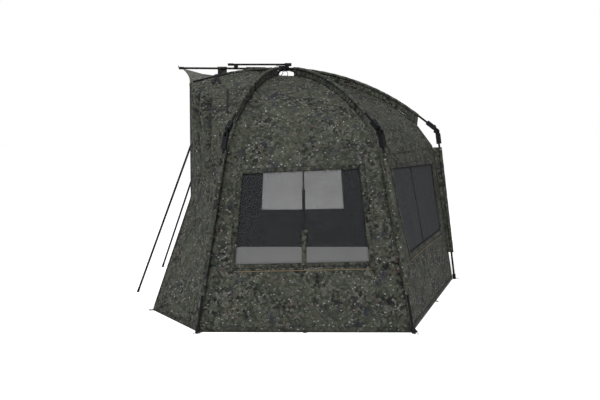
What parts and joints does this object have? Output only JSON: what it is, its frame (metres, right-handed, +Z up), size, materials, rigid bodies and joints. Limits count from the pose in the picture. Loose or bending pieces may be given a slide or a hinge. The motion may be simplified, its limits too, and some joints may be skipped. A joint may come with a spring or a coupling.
{
  "type": "pop up ground blind",
  "caption": "Hub-framed pop-up shelter: hinged ribs, knuckled legs, over-hub tension bar, telescopic storm poles and camouflage fabric panels with mesh windows.",
  "frame": {"origin": "on the ground, at the middle of the plan box", "axes": "+Z up, +Y to the rear, the doorway faces -Y, symmetrical about X = 0"},
  "size_m": [2.442, 2.1503, 1.4876],
  "materials": {
    "camo_fabric": "coated woven polyester in a muted olive and charcoal camouflage",
    "window_mesh": "fine black insect mesh",
    "black_pole": "satin black",
    "black_moulding": "fine textured black nylon",
    "release_button": "smooth dark grey",
    "zinc_steel": "dull zinc"
  },
  "bodies": {
    "hub": {"hub_body": "black_moulding", "hub_cap": "black_moulding", "hub_bolt": "zinc_steel", "hub_pivot_ring": "zinc_steel", "tension_bracket": "black_moulding", "side_panel_right": "camo_fabric", "side_panel_left": "camo_fabric", "rear_panel_right": "camo_fabric", "rear_panel_left": "camo_fabric", "front_wing_right": "camo_fabric", "front_wing_left": "camo_fabric", "side_window_mesh_right": "window_mesh", "side_window_mesh_left": "window_mesh", "rear_window_mesh_right": "window_mesh", "rear_window_mesh_left": "window_mesh", "peak_canopy": "camo_fabric", "front_panel": "camo_fabric", "door_panel": "camo_fabric"},
    "tension_bar": {"tension_bar": "black_pole", "tension_clip": "black_moulding"},
    "peak_pole": {"peak_pole": "black_pole", "peak_tip": "black_moulding"},
    "rib_front_right": {"rib_front_right": "black_pole", "knuckle_socket_front_right": "black_moulding"},
    "leg_front_right": {"knuckle_clevis_front_right": "black_moulding", "leg_front_right": "black_pole", "foot_front_right": "black_moulding"},
    "button_front_right": {"knuckle_button_front_right": "release_button"},
    "rib_front_left": {"rib_front_left": "black_pole", "knuckle_socket_front_left": "black_moulding"},
    "leg_front_left": {"knuckle_clevis_front_left": "black_moulding", "leg_front_left": "black_pole", "foot_front_left": "black_moulding"},
    "button_front_left": {"knuckle_button_front_left": "release_button"},
    "rib_rear_right": {"rib_rear_right": "black_pole", "knuckle_socket_rear_right": "black_moulding"},
    "leg_rear_right": {"knuckle_clevis_rear_right": "black_moulding", "leg_rear_right": "black_pole", "foot_rear_right": "black_moulding"},
    "button_rear_right": {"knuckle_button_rear_right": "release_button"},
    "rib_rear_left": {"rib_rear_left": "black_pole", "knuckle_socket_rear_left": "black_moulding"},
    "leg_rear_left": {"knuckle_clevis_rear_left": "black_moulding", "leg_rear_left": "black_pole", "foot_rear_left": "black_moulding"},
    "button_rear_left": {"knuckle_button_rear_left": "release_button"},
    "rib_rear_centre": {"rib_rear_centre": "black_pole", "knuckle_socket_rear_centre": "black_moulding"},
    "leg_rear_centre": {"knuckle_clevis_rear_centre": "black_moulding", "leg_rear_centre": "black_pole", "foot_rear_centre": "black_moulding"},
    "button_rear_centre": {"knuckle_button_rear_centre": "release_button"},
    "front_rib_right": {"front_rib_right": "black_pole"},
    "storm_upper_right": {"storm_pole_inner_right": "black_pole"},
    "storm_lower_right": {"storm_pole_outer_right": "black_pole"},
    "storm_collar_right": {"storm_pole_collar_right": "black_moulding"},
    "front_rib_left": {"front_rib_left": "black_pole"},
    "storm_upper_left": {"storm_pole_inner_left": "black_pole"},
    "storm_lower_left": {"storm_pole_outer_left": "black_pole"},
    "storm_collar_left": {"storm_pole_collar_left": "black_moulding"}
  },
  "joints": [
    {"name": "frame_fold", "type": "hinge", "parent": "hub", "child": "rib_front_right", "pos_m": [0.02695, -0.13762, 1.45], "axis": [0.2709, 0.9626, 0], "range_deg": [0, 36], "deforming": ["side_panel_right", "side_panel_left", "rear_panel_right", "rear_panel_left", "front_wing_right", "front_wing_left", "side_window_mesh_right", "side_window_mesh_left", "rear_window_mesh_right", "rear_window_mesh_left", "peak_canopy", "front_panel", "door_panel"]},
    {"name": "rib_fold_front_left", "type": "hinge", "parent": "hub", "child": "rib_front_left", "pos_m": [-0.02695, -0.13762, 1.45], "axis": [0.2709, -0.9626, 0], "range_deg": [0, 36]},
    {"name": "rib_fold_rear_right", "type": "hinge", "parent": "hub", "child": "rib_rear_right", "pos_m": [0.02413, -0.11584, 1.45], "axis": [-0.507, 0.8619, 0], "range_deg": [0, 36]},
    {"name": "rib_fold_rear_left", "type": "hinge", "parent": "hub", "child": "rib_rear_left", "pos_m": [-0.02413, -0.11584, 1.45], "axis": [-0.507, -0.8619, 0], "range_deg": [0, 36]},
    {"name": "rib_fold_rear_centre", "type": "hinge", "parent": "hub", "child": "rib_rear_centre", "pos_m": [0, -0.10204, 1.45], "axis": [-1, 0, 0], "range_deg": [0, 36]},
    {"name": "peak_pole_fold", "type": "hinge", "parent": "hub", "child": "peak_pole", "pos_m": [0, -0.15804, 1.45], "axis": [1, 0, 0], "range_deg": [0, 36]},
    {"name": "front_rib_fold_right", "type": "hinge", "parent": "hub", "child": "front_rib_right", "pos_m": [0.01313, -0.15477, 1.45], "axis": [0.8832, 0.469, 0], "range_deg": [0, 36]},
    {"name": "storm_pole_swing_right", "type": "hinge", "parent": "front_rib_right", "child": "storm_upper_right", "pos_m": [0.24152, -0.5849, 1.31519], "axis": [0.8832, 0.469, 0], "range_deg": [-36, 0]},
    {"name": "front_rib_fold_left", "type": "hinge", "parent": "hub", "child": "front_rib_left", "pos_m": [-0.01313, -0.15477, 1.45], "axis": [0.8832, -0.469, 0], "range_deg": [0, 36]},
    {"name": "storm_pole_swing_left", "type": "hinge", "parent": "front_rib_left", "child": "storm_upper_left", "pos_m": [-0.24152, -0.5849, 1.31519], "axis": [0.8832, -0.469, 0], "range_deg": [-36, 0]},
    {"name": "leg_fold_front_right", "type": "hinge", "parent": "rib_front_right", "child": "leg_front_right", "pos_m": [0.9817, -0.40808, 1.02149], "axis": [0.2014, 0.9753, -0.0905], "range_deg": [0, 126]},
    {"name": "leg_fold_front_left", "type": "hinge", "parent": "rib_front_left", "child": "leg_front_left", "pos_m": [-0.9817, -0.40808, 1.02149], "axis": [0.2014, -0.9753, 0.0905], "range_deg": [0, 126]},
    {"name": "leg_fold_rear_right", "type": "hinge", "parent": "rib_rear_right", "child": "leg_rear_right", "pos_m": [0.92397, 0.41332, 1.03075], "axis": [-0.5114, 0.8593, -0.0072], "range_deg": [0, 128]},
    {"name": "leg_fold_rear_left", "type": "hinge", "parent": "rib_rear_left", "child": "leg_rear_left", "pos_m": [-0.92397, 0.41332, 1.03075], "axis": [-0.5114, -0.8593, 0.0072], "range_deg": [0, 128]},
    {"name": "leg_fold_rear_centre", "type": "hinge", "parent": "rib_rear_centre", "child": "leg_rear_centre", "pos_m": [0, 0.90596, 1.02675], "axis": [-1, 0, 0], "range_deg": [0, 120]},
    {"name": "knuckle_button_press_front_right", "type": "slide", "parent": "rib_front_right", "child": "button_front_right", "axis": [-0.6176, 0.0547, -0.7846], "range_m": [0, 0.003]},
    {"name": "knuckle_button_press_front_left", "type": "slide", "parent": "rib_front_left", "child": "button_front_left", "axis": [0.6176, 0.0547, -0.7846], "range_m": [0, 0.003]},
    {"name": "knuckle_button_press_rear_right", "type": "slide", "parent": "rib_rear_right", "child": "button_rear_right", "axis": [-0.4956, -0.3017, -0.8145], "range_m": [0, 0.003]},
    {"name": "knuckle_button_press_rear_left", "type": "slide", "parent": "rib_rear_left", "child": "button_rear_left", "axis": [0.4956, -0.3017, -0.8145], "range_m": [0, 0.003]},
    {"name": "knuckle_button_press_rear_centre", "type": "slide", "parent": "rib_rear_centre", "child": "button_rear_centre", "axis": [0, -0.6005, -0.7997], "range_m": [0, 0.003]},
    {"name": "tension_bar_lift", "type": "hinge", "parent": "hub", "child": "tension_bar", "pos_m": [0, -0.10204, 1.4785], "axis": [-1, 0, 0], "range_deg": [0, 100]},
    {"name": "storm_pole_slide_right", "type": "slide", "parent": "storm_upper_right", "child": "storm_lower_right", "axis": [0.0949, -0.3426, -0.9347], "range_m": [-0.27, 0.06]},
    {"name": "storm_pole_lock_right", "type": "hinge", "parent": "storm_lower_right", "child": "storm_collar_right", "pos_m": [0.27339, -0.70003, 1.00114], "axis": [0.0949, -0.3426, -0.9347], "range_deg": [0, 90]},
    {"name": "storm_pole_slide_left", "type": "slide", "parent": "storm_upper_left", "child": "storm_lower_left", "axis": [-0.0949, -0.3426, -0.9347], "range_m": [-0.27, 0.06]},
    {"name": "storm_pole_lock_left", "type": "hinge", "parent": "storm_lower_left", "child": "storm_collar_left", "pos_m": [-0.27339, -0.70003, 1.00114], "axis": [-0.0949, -0.3426, -0.9347], "range_deg": [0, 90]}
  ],
  "couplings": [
    {"joint": "rib_fold_front_left", "follows": "frame_fold", "ratio": 1},
    {"joint": "rib_fold_rear_right", "follows": "frame_fold", "ratio": 1},
    {"joint": "rib_fold_rear_left", "follows": "frame_fold", "ratio": 1},
    {"joint": "rib_fold_rear_centre", "follows": "frame_fold", "ratio": 1},
    {"joint": "peak_pole_fold", "follows": "frame_fold", "ratio": 1},
    {"joint": "front_rib_fold_right", "follows": "frame_fold", "ratio": 1},
    {"joint": "storm_pole_swing_right", "follows": "frame_fold", "ratio": -1},
    {"joint": "front_rib_fold_left", "follows": "frame_fold", "ratio": 1},
    {"joint": "storm_pole_swing_left", "follows": "frame_fold", "ratio": -1}
  ]
}
